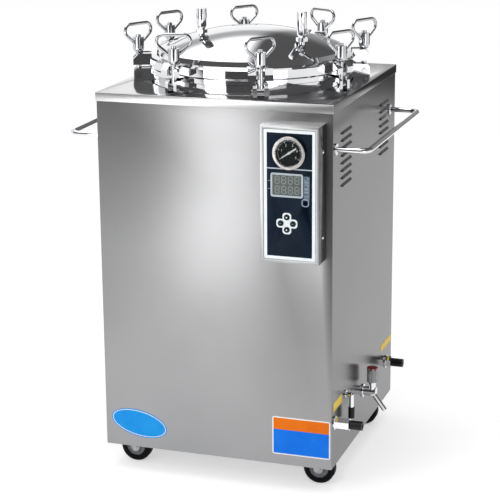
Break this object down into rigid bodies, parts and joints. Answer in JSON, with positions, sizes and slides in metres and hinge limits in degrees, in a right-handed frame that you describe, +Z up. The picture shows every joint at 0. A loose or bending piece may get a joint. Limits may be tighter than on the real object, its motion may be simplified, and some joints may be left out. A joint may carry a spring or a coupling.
{
  "type": "vertical autoclave",
  "caption": "Upright steam autoclave in a stainless steel cabinet on casters, its domed lid clamped by eight swing bolts with ring nuts, with a control box and gauge.",
  "frame": {"origin": "middle of the bounding box on the floor, under the casters", "axes": "+Z up, -Y out of the cabinet's front with the control box, +X to the side with the drain fittings"},
  "size_m": [0.716, 0.637, 1.0815],
  "materials": {
    "brushed_steel": "satin",
    "polished_steel": "mirror",
    "galvanised": "satin",
    "dark_steel": "satin",
    "insulation": "matte",
    "navy_plastic": "satin",
    "display": "gloss",
    "chrome": "mirror",
    "black_paint": "matte",
    "glass": "clear",
    "white_paint": "matte",
    "black_rubber": "matte",
    "knob": "satin",
    "copper": "satin",
    "gasket": "matte",
    "button": "satin",
    "tyre": "matte"
  },
  "bodies": {
    "cabinet": {"floor_pan": "galvanised", "front_panel": "brushed_steel", "left_side_panel": "brushed_steel", "right_side_panel": "brushed_steel", "rear_panel": "brushed_steel", "top_cover": "polished_steel", "pressure_vessel": "brushed_steel", "rim_flange": "polished_steel", "lug_pins": "polished_steel", "insulation_jacket": "insulation", "heating_elements": "dark_steel", "heater_grid": "brushed_steel", "sterilizing_basket": "brushed_steel", "control_box": "polished_steel", "control_fascia": "navy_plastic", "display_board": "display", "gauge_case": "chrome", "gauge_dial": "black_paint", "gauge_lens": "glass", "side_handles": "polished_steel", "hose_tails": "black_rubber", "drain_valve_body": "chrome", "pipework": "copper", "cable_gland": "black_rubber", "caster_plates": "galvanised"},
    "lid": {"lid": "polished_steel", "lid_gasket": "gasket", "lid_valves": "chrome"},
    "vent_lever": {"vent_valve_lever": "chrome"},
    "safety_cap": {"safety_valve_cap": "chrome"},
    "drain_knob": {"drain_valve_knob": "knob"},
    "needle": {"gauge_needle": "white_paint"},
    "button_up": {"button_up_key": "button"},
    "button_down": {"button_down_key": "button"},
    "button_left": {"button_left_key": "button"},
    "button_right": {"button_right_key": "button"},
    "fork_front_left": {"caster_fork_front_left": "galvanised"},
    "wheel_front_left": {"caster_wheel_front_left": "tyre"},
    "fork_front_right": {"caster_fork_front_right": "galvanised"},
    "wheel_front_right": {"caster_wheel_front_right": "tyre"},
    "fork_rear_left": {"caster_fork_rear_left": "galvanised"},
    "wheel_rear_left": {"caster_wheel_rear_left": "tyre"},
    "fork_rear_right": {"caster_fork_rear_right": "galvanised"},
    "wheel_rear_right": {"caster_wheel_rear_right": "tyre"},
    "bolt_1": {"swing_bolt_1": "polished_steel"},
    "nut_1": {"ring_nut_1": "polished_steel"},
    "bolt_2": {"swing_bolt_2": "polished_steel"},
    "nut_2": {"ring_nut_2": "polished_steel"},
    "bolt_3": {"swing_bolt_3": "polished_steel"},
    "nut_3": {"ring_nut_3": "polished_steel"},
    "bolt_4": {"swing_bolt_4": "polished_steel"},
    "nut_4": {"ring_nut_4": "polished_steel"},
    "bolt_5": {"swing_bolt_5": "polished_steel"},
    "nut_5": {"ring_nut_5": "polished_steel"},
    "bolt_6": {"swing_bolt_6": "polished_steel"},
    "nut_6": {"ring_nut_6": "polished_steel"},
    "bolt_7": {"swing_bolt_7": "polished_steel"},
    "nut_7": {"ring_nut_7": "polished_steel"},
    "bolt_8": {"swing_bolt_8": "polished_steel"},
    "nut_8": {"ring_nut_8": "polished_steel"}
  },
  "joints": [
    {"name": "bolt_1_swing", "type": "hinge", "parent": "cabinet", "child": "bolt_1", "pos_m": [0.24483, -0.07691, 0.9255], "axis": [0.3827, 0.9239, 0], "range_deg": [0, 96]},
    {"name": "bolt_2_swing", "type": "hinge", "parent": "cabinet", "child": "bolt_2", "pos_m": [0.24483, 0.12591, 0.9255], "axis": [-0.3827, 0.9239, 0], "range_deg": [0, 96]},
    {"name": "bolt_3_swing", "type": "hinge", "parent": "cabinet", "child": "bolt_3", "pos_m": [0.10141, 0.26933, 0.9255], "axis": [-0.9239, 0.3827, 0], "range_deg": [0, 96]},
    {"name": "bolt_4_swing", "type": "hinge", "parent": "cabinet", "child": "bolt_4", "pos_m": [-0.10141, 0.26933, 0.9255], "axis": [-0.9239, -0.3827, 0], "range_deg": [0, 96]},
    {"name": "bolt_5_swing", "type": "hinge", "parent": "cabinet", "child": "bolt_5", "pos_m": [-0.24483, 0.12591, 0.9255], "axis": [-0.3827, -0.9239, 0], "range_deg": [0, 96]},
    {"name": "bolt_6_swing", "type": "hinge", "parent": "cabinet", "child": "bolt_6", "pos_m": [-0.24483, -0.07691, 0.9255], "axis": [0.3827, -0.9239, 0], "range_deg": [0, 96]},
    {"name": "bolt_7_swing", "type": "hinge", "parent": "cabinet", "child": "bolt_7", "pos_m": [-0.10141, -0.22033, 0.9255], "axis": [0.9239, -0.3827, 0], "range_deg": [0, 96]},
    {"name": "bolt_8_swing", "type": "hinge", "parent": "cabinet", "child": "bolt_8", "pos_m": [0.10141, -0.22033, 0.9255], "axis": [0.9239, 0.3827, 0], "range_deg": [0, 96]},
    {"name": "nut_1_spin", "type": "hinge", "parent": "bolt_1", "child": "nut_1", "pos_m": [0.24483, -0.07691, 0.98831], "axis": [0, 0, 1], "continuous": true},
    {"name": "nut_2_spin", "type": "hinge", "parent": "bolt_2", "child": "nut_2", "pos_m": [0.24483, 0.12591, 0.98831], "axis": [0, 0, 1], "continuous": true},
    {"name": "nut_3_spin", "type": "hinge", "parent": "bolt_3", "child": "nut_3", "pos_m": [0.10141, 0.26933, 0.98831], "axis": [0, 0, 1], "continuous": true},
    {"name": "nut_4_spin", "type": "hinge", "parent": "bolt_4", "child": "nut_4", "pos_m": [-0.10141, 0.26933, 0.98831], "axis": [0, 0, 1], "continuous": true},
    {"name": "nut_5_spin", "type": "hinge", "parent": "bolt_5", "child": "nut_5", "pos_m": [-0.24483, 0.12591, 0.98831], "axis": [0, 0, 1], "continuous": true},
    {"name": "nut_6_spin", "type": "hinge", "parent": "bolt_6", "child": "nut_6", "pos_m": [-0.24483, -0.07691, 0.98831], "axis": [0, 0, 1], "continuous": true},
    {"name": "nut_7_spin", "type": "hinge", "parent": "bolt_7", "child": "nut_7", "pos_m": [-0.10141, -0.22033, 0.98831], "axis": [0, 0, 1], "continuous": true},
    {"name": "nut_8_spin", "type": "hinge", "parent": "bolt_8", "child": "nut_8", "pos_m": [0.10141, -0.22033, 0.98831], "axis": [0, 0, 1], "continuous": true},
    {"name": "lid_lift", "type": "slide", "parent": "cabinet", "child": "lid", "axis": [0, 0, 1], "range_m": [0, 0.058]},
    {"name": "vent_lever_flip", "type": "hinge", "parent": "lid", "child": "vent_lever", "pos_m": [0.15931, -0.04564, 1.03644], "axis": [0, -1, 0], "range_deg": [0, 90]},
    {"name": "safety_cap_pull", "type": "slide", "parent": "lid", "child": "safety_cap", "axis": [0, 0, 1], "range_m": [0, 0.004], "stiffness_N_per_m": 2500},
    {"name": "drain_knob_turn", "type": "hinge", "parent": "cabinet", "child": "drain_knob", "pos_m": [0.302, 0.0195, 0.1875], "axis": [0, 0, 1], "range_deg": [0, 350]},
    {"name": "gauge_needle_sweep", "type": "hinge", "parent": "cabinet", "child": "needle", "pos_m": [0.196, -0.31345, 0.81349], "axis": [0, 1, 0], "range_deg": [0, 248], "stiffness_Nm_per_rad": 0.0001},
    {"name": "button_up_press", "type": "slide", "parent": "cabinet", "child": "button_up", "axis": [0, 1, 0], "range_m": [0, 0.0015], "stiffness_N_per_m": 1200},
    {"name": "button_down_press", "type": "slide", "parent": "cabinet", "child": "button_down", "axis": [0, 1, 0], "range_m": [0, 0.0015], "stiffness_N_per_m": 1200},
    {"name": "button_left_press", "type": "slide", "parent": "cabinet", "child": "button_left", "axis": [0, 1, 0], "range_m": [0, 0.0015], "stiffness_N_per_m": 1200},
    {"name": "button_right_press", "type": "slide", "parent": "cabinet", "child": "button_right", "axis": [0, 1, 0], "range_m": [0, 0.0015], "stiffness_N_per_m": 1200},
    {"name": "swivel_front_left", "type": "hinge", "parent": "cabinet", "child": "fork_front_left", "pos_m": [-0.212, -0.1805, 0.0889], "axis": [0, 0, 1], "continuous": true},
    {"name": "swivel_front_right", "type": "hinge", "parent": "cabinet", "child": "fork_front_right", "pos_m": [0.212, -0.1805, 0.0889], "axis": [0, 0, 1], "continuous": true},
    {"name": "swivel_rear_left", "type": "hinge", "parent": "cabinet", "child": "fork_rear_left", "pos_m": [-0.212, 0.2145, 0.0889], "axis": [0, 0, 1], "continuous": true},
    {"name": "swivel_rear_right", "type": "hinge", "parent": "cabinet", "child": "fork_rear_right", "pos_m": [0.212, 0.2145, 0.0889], "axis": [0, 0, 1], "continuous": true},
    {"name": "wheel_roll_front_left", "type": "hinge", "parent": "fork_front_left", "child": "wheel_front_left", "pos_m": [-0.23, -0.1805, 0.0375], "axis": [0, 1, 0], "continuous": true},
    {"name": "wheel_roll_front_right", "type": "hinge", "parent": "fork_front_right", "child": "wheel_front_right", "pos_m": [0.23, -0.1805, 0.0375], "axis": [0, 1, 0], "continuous": true},
    {"name": "wheel_roll_rear_left", "type": "hinge", "parent": "fork_rear_left", "child": "wheel_rear_left", "pos_m": [-0.23, 0.2145, 0.0375], "axis": [0, 1, 0], "continuous": true},
    {"name": "wheel_roll_rear_right", "type": "hinge", "parent": "fork_rear_right", "child": "wheel_rear_right", "pos_m": [0.23, 0.2145, 0.0375], "axis": [0, 1, 0], "continuous": true}
  ],
  "couplings": [
    {"joint": "bolt_2_swing", "follows": "bolt_1_swing", "ratio": 1},
    {"joint": "bolt_3_swing", "follows": "bolt_1_swing", "ratio": 1},
    {"joint": "bolt_4_swing", "follows": "bolt_1_swing", "ratio": 1},
    {"joint": "bolt_5_swing", "follows": "bolt_1_swing", "ratio": 1},
    {"joint": "bolt_6_swing", "follows": "bolt_1_swing", "ratio": 1},
    {"joint": "bolt_7_swing", "follows": "bolt_1_swing", "ratio": 1},
    {"joint": "bolt_8_swing", "follows": "bolt_1_swing", "ratio": 1},
    {"joint": "lid_lift", "follows": "bolt_1_swing", "m_per_rad": 0.034604}
  ]
}
